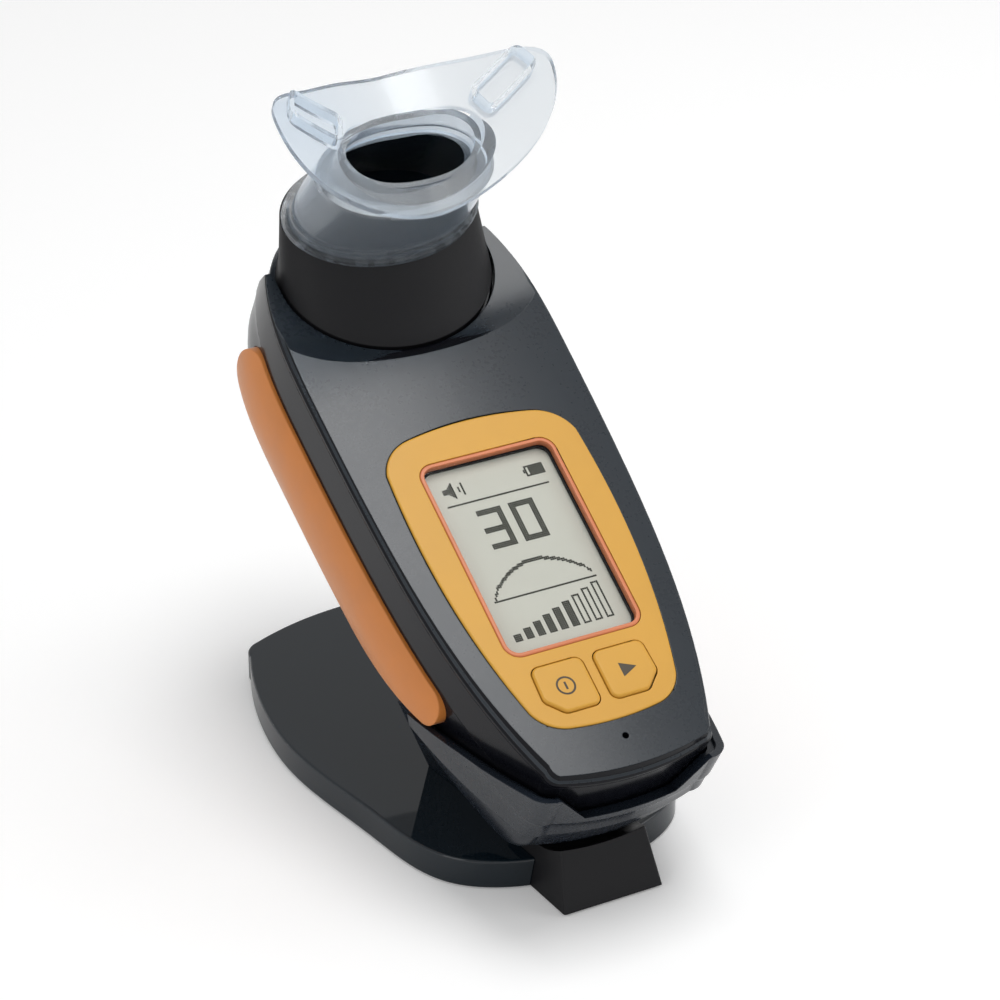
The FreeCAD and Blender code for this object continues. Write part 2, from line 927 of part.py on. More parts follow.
def shield_space(curve, low, high):
    # The space between two heights over the shield, which lies square to the leaning mouth axis
    # and bows towards the user at both wings by the given curve
    rise = flange_height - mouth_lean * (mouth_center(flange_height) - shield_start_y)

    def line(height):
        half = shield_reach / 2
        places = (-2 * half, -half, 0, half, 2 * half)
        return spline([v(x, shield_start_y, rise + height + curve * x * x) for x in places])

    floor = line(low)
    roof = line(high)
    ends = [Part.makeLine(floor.Vertexes[i].Point, roof.Vertexes[i].Point) for i in (0, 1)]
    profile = Part.Wire(Part.__sortEdges__([floor, roof] + ends))
    return Part.Face(profile).extrude(v(0, shield_length, shield_length * mouth_lean))


def flange():
    plan = prism(mirrored_outline(flange_outline, 0.0, 0.0), far)
    return plan.common(shield_space(flange_curve, 0.0, flange_thickness))


def flange_lip():
    # Flat rim of the mouth opening, which the bowed shield rises past at both sides
    blank = mouth_prism(flange_height - lip_root, lip_width)
    return blank.common(shield_space(0.0, -lip_root / 2, lip_rise))


def bite_tab(side):
    outer = rounded_rectangle(tab_length, tab_width, tab_corner_radius, 0, far)
    inner = rounded_rectangle(tab_length - 2 * tab_wall, tab_width - 2 * tab_wall,
                              tab_corner_radius - tab_wall, -past, far + past)
    loop = outer.cut(inner)
    loop.rotate(v(0, 0, 0), v(0, 0, 1), side * tab_tilt)
    loop.translate(v(side * tab_x, tab_y, 0))
    return loop.common(shield_space(flange_curve, 0.0, tab_rise))


def mouthpiece():
    solid = skirt_outside().fuse([flange(), flange_lip(), bite_tab(-1), bite_tab(1)])
    return solid.cut(skirt_inside()).removeSplitter()


def bezel():
    shoulder = bezel_height - bezel_edge_radius
    turn = bezel_height - arc_middle * bezel_edge_radius
    levels = [(-bezel_depth, 0.0), (shoulder, 0.0), (turn, arc_middle * bezel_edge_radius),
              (bezel_height, bezel_edge_radius)]
    plate = Part.makeLoft([bezel_wire(z, inset) for z, inset in levels], True, True)
    pocket = rounded_rectangle(lip_outer_width + 2 * bezel_gap, lip_outer_length + 2 * bezel_gap,
                               lip_corner_radius + bezel_gap, -lip_depth, far)
    inner_w = lip_outer_width - 2 * lip_rim - 2 * ledge_width
    inner_l = lip_outer_length - 2 * lip_rim - 2 * ledge_width
    opening = rounded_rectangle(inner_w, inner_l, lip_corner_radius - lip_rim, -far, far)
    keys = [button_solid(side, -far, far, button_gap) for side in (-1, 1)]
    return plate.cut([pocket, opening] + keys)


def window_lip():
    ring = rounded_rectangle(lip_outer_width, lip_outer_length, lip_corner_radius, -lip_depth,
                             lip_height)
    ring = fillet_at_height(ring, lip_height, bezel_edge_radius)
    hole = rounded_rectangle(lip_outer_width - 2 * lip_rim, lip_outer_length - 2 * lip_rim,
                             lip_corner_radius - lip_rim, -far, far)
    return ring.cut(hole)


def display_window():
    g = 2 * lip_rim + 2 * bezel_gap
    return rounded_rectangle(lip_outer_width - g, lip_outer_length - g,
                             lip_corner_radius - lip_rim, -lip_depth, glass_top)


def display_module():
    return rounded_rectangle(display_width, display_length, display_corner_radius,
                             -board_top_depth, -display_top_depth)


def button(side):
    top = -bezel_depth - button_flange_gap
    bottom = top - button_flange_thickness
    cap = button_solid(side, bottom, button_height)
    cap = fillet_at_height(cap, button_height, button_edge_radius)
    flange_ring = button_solid(side, bottom, top, button_flange)
    x, y = button_center(side)
    foot = -board_top_depth + switch_height + button_travel + switch_gap
    stem = Part.makeCylinder(stem_radius, bottom + overlap - foot, v(x, y, foot))
    return cap.fuse([flange_ring, stem]).removeSplitter()


def button_center(side):
    return side * (button_inner + button_outer) / 2, (button_top_y + button_foot_y) / 2


def button_switches():
    half = switch_size / 2
    solids = []
    for side in (-1, 1):
        x, y = button_center(side)
        solids.append(box(x - half, x + half, y - half, y + half, -board_top_depth,
                          -board_top_depth + switch_height))
    return Part.makeCompound(solids)


def main_board():
    z0 = -board_top_depth - board_thickness
    plan = prism(handset_wire(z0, board_share, board_foot_rise, 0.0), board_thickness)
    board = plan.common(box(-far, far, foot_y + board_foot_rise, cavity_top_y - board_top_gap, z0,
                            z0 + board_thickness))
    holes = [Part.makeCylinder(screw_radius + running_gap, 2 * far, v(x, y, -far))
             for x, y in screw_places()]
    return board.cut(holes)


def battery():
    z0 = -cavity_back_depth + fit_gap
    length = battery_high_y - battery_low_y
    center = (battery_high_y + battery_low_y) / 2
    return rounded_rectangle(2 * battery_half_width, length, battery_corner_radius, z0,
                             z0 + battery_thickness, center)


def sounder():
    return Part.makeCylinder(sounder_radius, sounder_height, v(sounder_x, sounder_y, -board_top_depth))


def front_bosses():
    bosses = []
    height = board_top_depth - cover_depth
    for x, y in screw_places():
        foot = v(x, y, -board_top_depth)
        hole = Part.makeCylinder(screw_radius, height - past, foot)
        bosses.append(Part.makeCylinder(boss_radius, height, foot).cut(hole))
    return bosses


def slotted_screw(x, y, seat, head_radius, head_height, length, slot_depth):
    # Stands on its head: the shank runs up from the seat, the slot is in the underside
    shank = Part.makeCylinder(screw_radius, length, v(x, y, seat))
    head = Part.makeCylinder(head_radius, head_height, v(x, y, seat - head_height))
    half_width, half_length = drive_slot_width / 2, drive_slot_length / 2
    slot = box(x - half_width, x + half_width, y - half_length, y + half_length,
               seat - head_height - past, seat - head_height + slot_depth)
    return shank.fuse(head).cut(slot)


def case_screws():
    seat = screw_seat()
    length = -seat - cover_depth - screw_tip_gap
    return Part.makeCompound([slotted_screw(x, y, seat, screw_head_radius, screw_head_height, length,
                                            drive_slot_depth) for x, y in screw_places()])


def base_wire(z, inset=0.0):
    share_x = 1 - inset / base_wide_half_width
    share_y = 1 - 2 * inset / (base_back_y - base_nose_y)
    middle_y = (base_back_y + base_nose_y) / 2

    def at(x, y):
        return v(x * share_x, middle_y + (y - middle_y) * share_y, z)

    side = [
        (base_corner_half_width, base_corner_y),
        (base_rear_half_width, base_rear_y),
        (base_wide_half_width, base_wide_y),
        (base_side_half_width, base_side_y),
        (base_low_half_width, base_low_y),
        (base_front_half_width, base_front_y),
    ]
    mirrored = [(-x, y) for x, y in reversed(side)]
    around = spline([at(x, y) for x, y in side + [(0, base_nose_y)] + mirrored])
    left = arc(at(*mirrored[-1]), at(-base_bend_x, base_bend_y), at(-base_turn_x, base_turn_y))
    back = arc(at(-base_turn_x, base_turn_y), at(0, base_back_y), at(base_turn_x, base_turn_y))
    right = arc(at(base_turn_x, base_turn_y), at(base_bend_x, base_bend_y), at(*side[0]))
    return Part.Wire([around, left, back, right])


def base_slab(z0, z1, inset=0.0):
    return prism(base_wire(z0, inset), z1 - z0)


def quad_loft(low, high):
    wires = []
    for front_y, front_x, back_y, back_x, z in (low, high):
        corners = [(-front_x, front_y), (front_x, front_y), (back_x, back_y), (-back_x, back_y)]
        wires.append(Part.makePolygon([v(x, y, z) for x, y in corners + corners[:1]]))
    return Part.makeLoft(wires, True, True)


def foot_block_solid(grow=0.0):
    rise = block_top_height - base_lift
    low = (block_front_y - grow, block_foot_half_width + grow, block_back_y + grow,
           block_foot_half_width + block_back_flare + grow, base_lift)
    high = (block_front_y + block_lean * rise - grow, block_foot_half_width - block_taper * rise + grow,
            block_back_y + grow, block_foot_half_width + block_back_flare - block_taper * rise + grow,
            block_top_height)
    return quad_loft(low, high)


def pedestal_solid(grow=0.0):
    low = (pedestal_front_y - grow, pedestal_front_half_width + grow, pedestal_back_y + grow,
           pedestal_back_half_width + grow, base_height)
    high = (pedestal_front_y - grow, pedestal_top_front_half_width + grow,
            pedestal_top_back_y + grow, pedestal_top_back_half_width + grow, pedestal_top_height)
    return quad_loft(low, high)


def base_screw_places():
    front = [(-base_screw_x, base_screw_front_y), (base_screw_x, base_screw_front_y)]
    back = [(-base_screw_x, base_screw_back_y), (base_screw_x, base_screw_back_y)]
    return front + back


def plate_top():
    return base_lift + plate_thickness


def base_shell():
    shell = base_slab(base_lift, base_height)
    shell = fillet_at_height(shell, base_height, base_edge_radius)
    room = base_slab(0, base_height - base_top_thickness, base_wall)
    bosses = []
    for x, y in base_screw_places():
        height = base_height - base_top_thickness - plate_top()
        boss = Part.makeCylinder(base_boss_radius, height, v(x, y, plate_top()))
        bosses.append(boss)
    room = room.cut(bosses)
    shell = shell.cut(room)
    for x, y in base_screw_places():
        depth = base_height - base_top_thickness - plate_top()
        shell = shell.cut(Part.makeCylinder(screw_radius, depth, v(x, y, plate_top())))
    return shell.cut(foot_block_solid(fit_gap))


def pad_sheet_solid(grow=0.0):
    return base_slab(0, pad_sheet_thickness + grow, pad_sheet_inset - grow)


def bottom_plate():
    plate = base_slab(base_lift, plate_top(), base_wall + plate_gap)
    plate = plate.cut([pad_sheet_solid(fit_gap), foot_block_solid(fit_gap)])
    for x, y in base_screw_places():
        plate = plate.cut(Part.makeCylinder(screw_radius + running_gap, far, v(x, y, 0)))
    return plate


def anti_slip_pad():
    pad = pad_sheet_solid().cut(foot_block_solid(pad_block_gap))
    holes = [Part.makeCylinder(base_screw_head_radius + pad_hole_gap, far, v(x, y, -past))
             for x, y in base_screw_places()]
    return pad.cut(holes)


def ballast():
    z0 = plate_top()
    weight = base_slab(z0, z0 + ballast_thickness, base_wall + ballast_gap)
    holes = [Part.makeCylinder(base_boss_radius + ballast_gap, far, v(x, y, 0))
             for x, y in base_screw_places()]
    return weight.cut(holes + [foot_block_solid(ballast_gap)])


def base_screws():
    seat = pad_sheet_thickness + fit_gap
    length = base_height - base_top_thickness - screw_tip_gap - seat
    return Part.makeCompound([slotted_screw(x, y, seat, base_screw_head_radius, base_screw_head_height,
                                            length, base_slot_depth) for x, y in base_screw_places()])


def grown_handset(grow):
    slab = handset_slab(-frame_depth, face_clearance, grow)
    return place_handset(handset_back(grow).fuse(slab))


def grown_grips(grow):
    return [place_handset(grip_outline(side, grow).common(bulged_body(grow))) for side in (-1, 1)]


def half_space_below(y, z, slope):
    # Everything under a plane that rises towards +Y by the given slope
    reach = 2 * far
    points = [(y - reach, z - reach * slope), (y + reach, z + reach * slope), (y + reach, -reach),
              (y - reach, -reach)]
    return side_prism(points, far)


def slab_between(z0, z1):
    return box(-far, far, -2 * far, far, z0, z1)


def cradle():
    handset = grown_handset(cup_gap)
    below_rim = slab_between(-far, rim_height).common(box(-far, far, -2 * far, arm_tip_y, -far, far))
    under = half_space_below(arm_tip_y, arm_tip_height, arm_slope)
    rebate = grown_handset(cup_gap + rebate_width).common(slab_between(rim_height - rebate_depth, far))
    ring = grown_handset(cup_gap + cup_wall).common(below_rim).cut([under, rebate])
    bowl = grown_handset(cup_gap + bowl_wall).common(below_rim).common(under)
    solid = ring.fuse([bowl, pedestal_solid()]).cut([handset, front_notch()] + grown_grips(cup_gap))
    solid = solid.cut(slab_between(-far, base_height))
    return solid.cut([foot_block_solid(fit_gap)] + cradle_pockets()).removeSplitter()


def front_notch():
    # Dip in the middle of the front rim
    front = min(block_front_y, base_nose_y) - far
    low = rim_height - notch_depth
    corners = [
        (-notch_top_half_width, rim_height + past),
        (-notch_foot_half_width, low),
        (notch_foot_half_width, low),
        (notch_top_half_width, rim_height + past),
    ]
    wire = Part.makePolygon([v(x, front, z) for x, z in corners + corners[:1]])
    return Part.Face(wire).extrude(v(0, notch_back_y - front, 0))


def foot_block():
    solid = foot_block_solid()
    middle = (block_front_y + block_back_y) / 2
    front = [e for e in upright_edges(solid) if e.CenterOfMass.y < middle]
    solid = solid.makeFillet(block_edge_radius, front)
    return solid.cut(grown_handset(cup_gap + cup_wall))


def charger_board_back_y():
    return pedestal_back_y - charger_board_setback


def charger_board():
    z0 = base_height + fit_gap
    w = charger_board_half_width
    return box(-w, w, charger_board_front_y, charger_board_back_y(), z0, z0 + charger_board_thickness)


def inlet_box(grow=0.0):
    z0 = base_height + fit_gap + charger_board_thickness
    half = inlet_width / 2 + grow
    back = pedestal_back_y - inlet_setback
    mouth = back + far if grow else back
    return box(-half, half, back - inlet_length - grow, mouth, z0 - grow, z0 + inlet_height + grow)


def power_inlet():
    z0 = base_height + fit_gap + charger_board_thickness
    back = pedestal_back_y - inlet_setback
    axis = v(0, 1, 0)
    center = v(0, back - jack_depth, z0 + jack_height)
    hole = Part.makeCylinder(jack_radius, jack_depth + past, center, axis)
    pin = Part.makeCylinder(jack_pin_radius, jack_depth - past, center, axis)
    return inlet_box().cut(hole).fuse(pin).removeSplitter()


def contact_box(grow=0.0):
    w = contact_half_width + grow
    half = contact_half_length + grow
    return box(-w, w, contact_y - half, contact_y + half, -contact_foot_depth - grow, -contact_top_depth)


def pin_tip_depth():
    return max(back_depth_at(contact_x, contact_y + dy) for dy in (-pin_radius, pin_radius)) + pin_gap


def contact_block():
    block = place_handset(contact_box()).cut(grown_handset(cup_gap + contact_block_gap))
    tip = pin_tip_depth()
    for side in (-1, 1):
        bore = Part.makeCylinder(pin_radius + pin_clearance, pin_length + pin_travel + 3 * past,
                                 v(side * contact_x, contact_y, -tip - pin_length - pin_travel))
        block = block.cut(place_handset(bore))
    return block


def contact_pin(side):
    tip = pin_tip_depth()
    return Part.makeCylinder(pin_radius, pin_length, v(side * contact_x, contact_y, -tip - pin_length))


def cradle_pockets():
    w = charger_board_half_width + fit_gap
    z1 = base_height + fit_gap + charger_board_thickness + fit_gap
    board = box(-w, w, charger_board_front_y - fit_gap, charger_board_back_y() + fit_gap,
                base_height - past, z1)
    return [board, inlet_box(fit_gap), place_handset(contact_box(fit_gap))]


nodes = {}


def keep(name, shape, in_handset=True):
    placed = place_handset(shape) if in_handset else shape
    nodes[name] = placed


keep("front_cover", front_cover().fuse(front_bosses()))
keep("mid_frame", mid_frame())
keep("rear_cover", rear_cover())
keep("grip_left", grip(-1))
keep("grip_right", grip(-1).mirror(v(0, 0, 0), v(1, 0, 0)))
keep("bezel", bezel())
keep("window_lip", window_lip())
keep("display_window", display_window())
keep("display_module", display_module())
keep("power_button", button(-1))
keep("play_button", button(1))
keep("button_switches", button_switches())
keep("main_board", main_board())
keep("battery", battery())
keep("sounder", sounder())
keep("case_screws", case_screws())
keep("charge_pads", charge_pads())
keep("valve_motor", valve_motor())
keep("motor_coupling", motor_coupling())
keep("valve_head_shell", valve_head_shell())
keep("hood", hood())
keep("inlet_grille", inlet_grille())
keep("flap_shaft", flap_shaft())
keep("valve_flap", valve_flap())
keep("mouthpiece", mouthpiece())
keep("contact_pin_left", contact_pin(-1))
keep("contact_pin_right", contact_pin(1))
keep("contact_block", contact_block(), False)
keep("charger_board", charger_board(), False)
keep("power_inlet", power_inlet(), False)
keep("cradle", cradle(), False)
keep("foot_block", foot_block(), False)
keep("base_shell", base_shell(), False)
keep("base_plate", bottom_plate(), False)
keep("ballast", ballast(), False)
keep("base_screws", base_screws(), False)
keep("anti_slip_pad", anti_slip_pad(), False)

for name, shape in nodes.items():
    shape.exportStep("parts/" + name + ".step")
    print(name, round(shape.Volume), len(shape.Solids), shape.isValid(), len(shape.Faces))
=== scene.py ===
import math

import bmesh
import bpy
from bpy.props import FloatProperty, FloatVectorProperty, IntProperty, PointerProperty
from bpy.types import NodeSocket, Operator, Panel, PropertyGroup
from mathutils import Matrix, Vector


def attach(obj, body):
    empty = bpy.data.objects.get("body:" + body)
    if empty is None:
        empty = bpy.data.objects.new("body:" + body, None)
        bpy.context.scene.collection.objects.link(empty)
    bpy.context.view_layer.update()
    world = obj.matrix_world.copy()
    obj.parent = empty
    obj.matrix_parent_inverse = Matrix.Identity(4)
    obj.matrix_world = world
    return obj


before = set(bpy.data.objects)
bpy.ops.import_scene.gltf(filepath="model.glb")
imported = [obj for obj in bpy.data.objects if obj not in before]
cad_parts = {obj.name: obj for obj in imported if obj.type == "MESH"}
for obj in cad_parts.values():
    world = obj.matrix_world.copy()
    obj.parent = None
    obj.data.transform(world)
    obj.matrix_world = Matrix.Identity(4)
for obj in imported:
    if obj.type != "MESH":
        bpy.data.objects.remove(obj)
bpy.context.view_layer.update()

bl_info = {
    "name": "Breathing Trainer Dressing",
    "version": (1, 0, 0),
    "blender": (4, 5, 0),
    "location": "3D View > Sidebar > Trainer",
    "description": "Dresses an inspiratory muscle trainer and its charging cradle",
    "category": "Object",
}

MM = 0.001

# The handset's own frame: x across, y up along the body, z out of its face
LEAN = math.radians(30.0)
HANDSET_ORIGIN = (0.0, -0.034, 0.0747)
HANDSET_FRAME = Matrix.Translation(HANDSET_ORIGIN) @ Matrix.Rotation(LEAN, 4, "X")

# Places on the handset, in millimetres of its own frame. The power button lies at -x.
BUTTON_X = 8.15
BUTTON_Y = -37.25
BUTTON_TOP = 1.1
DISPLAY_TOP = -2.28
# Below this height the bezel's walls in the window recess are painted black, standing in for their
# shadow
PAINTED_SHADE_TOP = -0.5
COLLAR_FOOT = 72.0

# A face of the front cover whose direction has less than this share of z is gloss skirt
SKIRT_TURN_BODY = 0.86
SKIRT_TURN_COLLAR = 0.5

# Colours that a user has no need to change
GOLD = (0.78, 0.58, 0.22)
ZINC = (0.56, 0.56, 0.54)
STEEL = (0.56, 0.56, 0.55)
PAD_RUBBER = (0.03, 0.03, 0.03)
BALLAST_PAINT = (0.09, 0.09, 0.09)
BOARD_GREEN = (0.015, 0.09, 0.035)
COMPONENT_BLACK = (0.02, 0.02, 0.02)
ACETAL_WHITE = (0.70, 0.69, 0.65)
CELL_WRAP = (0.06, 0.10, 0.16)
WINDOW_BLACK = (0.03, 0.03, 0.03)
WHITE = (1.0, 1.0, 1.0)

# The stage, with its places and sizes in metres
OVERHEAD_LIGHT = {"location": (0.2, -0.05, 1.15), "target": (0.2, -0.05, 0.1),
                  "width": 0.5, "height": 0.62}
LEFT_LIGHT = {"location": (-0.95, -0.35, 0.65), "target": (0.0, 0.0, 0.08),
              "width": 0.5, "height": 0.6}
RIGHT_LIGHT = {"location": (0.9, -0.5, 0.55), "target": (0.0, 0.0, 0.06),
               "width": 0.5, "height": 0.6}
CAMERA_PLACE = (-0.3447, -0.6684, 0.4919)
CAMERA_VIEW = (0.409, 0.770, -0.489)
SENSOR_WIDTH_MM = 36.0
FLOOR_HALF_SIDE = 3.0
FLOOR_SQUARES = 8


def on_handset(x, y, z):
    """A point of the handset's own frame, given in millimetres, in the row frame"""
    return HANDSET_FRAME @ Vector((x * MM, y * MM, z * MM))


def in_skirt(middle, direction):
    """Whether a face of the front cover belongs to the gloss skirt along its sides"""
    limit = SKIRT_TURN_BODY if middle.y < COLLAR_FOOT else SKIRT_TURN_COLLAR
    return direction.z < limit


def in_painted_recess_shade(middle, direction):
    """Whether a face of the bezel lies under the window, in the recess whose walls are painted black
    as their shade
    """
    return middle.z < PAINTED_SHADE_TOP


# Sizes and colours that a user would change


def length_property(name, description, default):
    return FloatProperty(name=name, description=description, default=default, min=0.0,
                         subtype="DISTANCE", unit="LENGTH", precision=5)


def count_property(name, description, default):
    return IntProperty(name=name, description=description, default=default, min=8)


def colour_property(name, description, default):
    return FloatVectorProperty(name=name, description=description, default=default, size=3,
                               min=0.0, max=1.0, subtype="COLOR")


def share_property(name, description, default):
    return FloatProperty(name=name, description=description, default=default, min=0.0, max=1.0,
                         subtype="FACTOR")


class TrainerSizes(PropertyGroup):
    pixel: length_property("Display pixel", "Side of one display pixel", 0.0005)
    pixel_rows: count_property("Pixel rows", "Rows of pixels", 98)
    pixel_columns: count_property("Pixel columns", "Pixels in a row", 62)
    print_thickness: length_property("Print thickness", "Thickness of printed ink", 0.00003)
    symbol_radius: length_property("Symbol radius", "Outer radius of the power symbol", 0.0024)
    symbol_stroke: length_property("Symbol stroke", "Line width of the printed symbols", 0.00048)
    edge_softness: length_property("Edge softness", "Radius of softened edges", 0.0003)


class TrainerColours(PropertyGroup):
    cover: colour_property("Front cover", "Satin front cover", (0.012, 0.018, 0.025))
    side: colour_property("Side band", "Gloss side of the casing", (0.005, 0.0055, 0.008))
    hood: colour_property("Hood", "Matte hood round the spigot", (0.0085, 0.0085, 0.010))
    grip: colour_property("Grip", "Soft-touch side grip", (0.62, 0.205, 0.035))
    bezel: colour_property("Bezel", "Pearl lacquer of the bezel", (0.66, 0.345, 0.045))
    lip: colour_property("Window lip", "Edge round the window", (0.62, 0.19, 0.075))
    panel: colour_property("Display panel", "Unlit display panel", (0.76, 0.77, 0.68))
    segment: colour_property("Display segment", "Dark display pixels", (0.04, 0.043, 0.034))
    ink: colour_property("Ink", "Printed symbols", (0.045, 0.03, 0.012))
    silicone: colour_property("Silicone", "Clear mouthpiece", (0.95, 0.98, 1.0))
    silicone_edge: colour_property("Silicone edge", "Tint at its edges", (0.55, 0.72, 0.92))
    base: colour_property("Base", "Mirror gloss base plate", (0.006, 0.012, 0.018))
    cradle: colour_property("Cradle", "Satin gloss cradle", (0.010, 0.014, 0.021))
    floor: colour_property("Floor", "Table top", (0.93, 0.93, 0.93))


class TrainerStage(PropertyGroup):
    key_power: FloatProperty(name="Key light", description="Power of the soft light overhead",
                             default=5.6, min=0.0, unit="POWER")
    fill_power: FloatProperty(name="Fill light", description="Power of the lights at each side",
                              default=1.6, min=0.0, unit="POWER")
    sky: share_property("Room light", "Strength of the light from all sides", 0.5)
    ceiling: share_property("Ceiling", "Brightness of the ceiling in a reflection", 0.55)
    backdrop: share_property("Backdrop", "Brightness added to the floor in the picture", 0.16)
    lens: FloatProperty(name="Lens", description="Focal length of the camera", default=128.8,
                        min=1.0, unit="CAMERA")


# Small builders for node materials

# Places of the mix node's two inputs and of its output, by the kind of value it mixes
MIX_FACTOR = 0
MIX_SOCKETS = {"FLOAT": (2, 3, 0), "RGBA": (6, 7, 2)}


def new_material(name):
    material = bpy.data.materials.new(name)
    material.use_nodes = True
    tree = material.node_tree
    shader = tree.nodes["Principled BSDF"]
    return material, tree, shader


def add_node(tree, kind, **values):
    """A new node with its inputs set by name, and with its settings where no input has the name"""
    node = tree.nodes.new(kind)
    for key, value in values.items():
        if key in node.inputs:
            node.inputs[key].default_value = value
        else:
            setattr(node, key, value)
    return node


def set_inputs(node, values):
    for name, value in values.items():
        node.inputs[name].default_value = value


def object_place(tree):
    return add_node(tree, "ShaderNodeTexCoord").outputs["Object"]


def noise(tree, place, scale, detail):
    node = add_node(tree, "ShaderNodeTexNoise", Scale=scale, Detail=detail)
    tree.links.new(place, node.inputs["Vector"])
    return node.outputs["Fac"]


def spread(tree, source, low, high, start=0.3, end=0.7):
    """Maps a value that runs from start to end onto the range from low to high"""
    node = add_node(tree, "ShaderNodeMapRange")
    set_inputs(node, {"From Min": start, "From Max": end, "To Min": low, "To Max": high})
    tree.links.new(source, node.inputs["Value"])
    return node.outputs["Result"]


def combined(tree, operation, first, second):
    node = add_node(tree, "ShaderNodeMath", operation=operation)
    tree.links.new(first, node.inputs[0])
    tree.links.new(second, node.inputs[1])
    return node.outputs[0]


def mix(tree, kind, factor, first, second):
    """Blends two numbers or two colours, each a plain value or another node's output"""
    node = add_node(tree, "ShaderNodeMix", data_type=kind)
    first_place, second_place, output_place = MIX_SOCKETS[kind]
    tree.links.new(factor, node.inputs[MIX_FACTOR])
    for place, value in ((first_place, first), (second_place, second)):
        if isinstance(value, NodeSocket):
            tree.links.new(value, node.inputs[place])
        else:
            node.inputs[place].default_value = value
    return node.outputs[output_place]


def opaque(colour):
    return (*colour, 1.0)


def scaled(colour, amount):
    return tuple(min(1.0, part * amount) for part in colour)


def tinted(tree, factor, first, second):
    return mix(tree, "RGBA", factor, opaque(first), opaque(second))


def bump(tree, shader, height, strength, depth, normal=None):
    """Roughens a shader's surface by a height, over another normal where one is given"""
    node = add_node(tree, "ShaderNodeBump", Strength=strength, Distance=depth)
    tree.links.new(height, node.inputs["Height"])
    if normal is not None:
        tree.links.new(normal, node.inputs["Normal"])
    tree.links.new(node.outputs["Normal"], shader.inputs["Normal"])


# The finishes


def moulded(name, colour, roughness, grain=0.02, grain_scale=9000.0, coat=0.0, mottling=0.1,
            wear=0.15, specular=0.5):
    """Moulded plastic: fine grain, faint flow marks, a little wear along softened edges"""
    flow_scale, flow_detail, flow_share = 55.0, 4.0, 0.08
    dust_scale, dust_detail, dust_share = 900.0, 3.0, 0.04
    grain_detail, grain_depth = 2.0, 0.05 * MM
    worn_from, worn_to, worn_lightness = 0.7, 0.999, 1.6
    material, tree, shader = new_material(name)
    place = object_place(tree)
    flow = noise(tree, place, flow_scale, flow_detail)
    dust = noise(tree, place, dust_scale, dust_detail)
    fine = noise(tree, place, grain_scale, grain_detail)

    softness = bpy.context.scene.trainer_sizes.edge_softness
    softened = add_node(tree, "ShaderNodeBevel", samples=8, Radius=softness).outputs["Normal"]
    flat = add_node(tree, "ShaderNodeNewGeometry").outputs["Normal"]
    facing = add_node(tree, "ShaderNodeVectorMath", operation="DOT_PRODUCT")
    tree.links.new(softened, facing.inputs[0])
    tree.links.new(flat, facing.inputs[1])
    edge = spread(tree, facing.outputs["Value"], wear, 0.0, worn_from, worn_to)

    body = tinted(tree, spread(tree, flow, 0.0, 1.0), colour, scaled(colour, 1.0 + mottling))
    worn = mix(tree, "RGBA", edge, body, opaque(scaled(colour, worn_lightness)))
    tree.links.new(worn, shader.inputs["Base Color"])
    dusty = spread(tree, dust, roughness * (1.0 - dust_share), roughness * (1.0 + dust_share))
    marked = spread(tree, flow, 0.0, roughness * flow_share)
    tree.links.new(combined(tree, "ADD", dusty, marked), shader.inputs["Roughness"])
    bump(tree, shader, fine, grain, grain_depth, softened)
    set_inputs(shader, {"Coat Weight": coat, "Coat Roughness": 0.04,
                        "Specular IOR Level": specular})
    return material


def soft_touch(name, colour):
    """Rubbery overmould: broad sheen, fine grain and a little hand polish"""
    polish_scale, polish_detail, polish_lightness = 70.0, 3.0, 1.12
    polished, dull = 0.34, 0.46
    grain_scale, grain_detail, grain_strength, grain_depth = 6000.0, 2.0, 0.08, 0.05 * MM
    edge_radius = 0.6 * MM
    material, tree, shader = new_material(name)
    place = object_place(tree)
    polish = noise(tree, place, polish_scale, polish_detail)
    grain = noise(tree, place, grain_scale, grain_detail)
    body = tinted(tree, spread(tree, polish, 0.0, 1.0), colour, scaled(colour, polish_lightness))
    tree.links.new(body, shader.inputs["Base Color"])
    tree.links.new(spread(tree, polish, polished, dull), shader.inputs["Roughness"])
    softened = add_node(tree, "ShaderNodeBevel", samples=4, Radius=edge_radius)
    bump(tree, shader, grain, grain_strength, grain_depth, softened.outputs["Normal"])
    set_inputs(shader, {"Sheen Weight": 0.15, "Sheen Roughness": 0.4})
    return material


def clear_silicone(name, colour, edge_colour):
    """Clear moulded silicone that turns pale blue where it is seen edge on"""
    haze_scale, haze_detail, clearest, haziest = 120.0, 3.0, 0.1, 0.16
    ripple_scale, ripple_detail, ripple_strength, ripple_depth = 160.0, 2.0, 0.05, 0.3 * MM
    material, tree, shader = new_material(name)
    place = object_place(tree)
    weight = add_node(tree, "ShaderNodeLayerWeight", Blend=0.35)
    tint = tinted(tree, weight.outputs["Facing"], colour, edge_colour)
    tree.links.new(tint, shader.inputs["Base Color"])
    haze = noise(tree, place, haze_scale, haze_detail)
    tree.links.new(spread(tree, haze, clearest, haziest), shader.inputs["Roughness"])
    ripple = noise(tree, place, ripple_scale, ripple_detail)
    bump(tree, shader, ripple, ripple_strength, ripple_depth)
    set_inputs(shader, {"Transmission Weight": 0.9, "IOR": 1.16, "Coat Weight": 0.7,
                        "Coat Roughness": 0.25})
    return material


def clear_window(name):
    """A window that is nearly all see-through and still shows a faint reflection"""
    smear_scale, smear_detail, clean, smeared = 90.0, 4.0, 0.03, 0.08
    material, tree, shader = new_material(name)
    smear = noise(tree, object_place(tree), smear_scale, smear_detail)
    tree.links.new(spread(tree, smear, clean, smeared), shader.inputs["Roughness"])
    set_inputs(shader, {"Base Color": opaque(WINDOW_BLACK), "Alpha": 0.08})
    return material


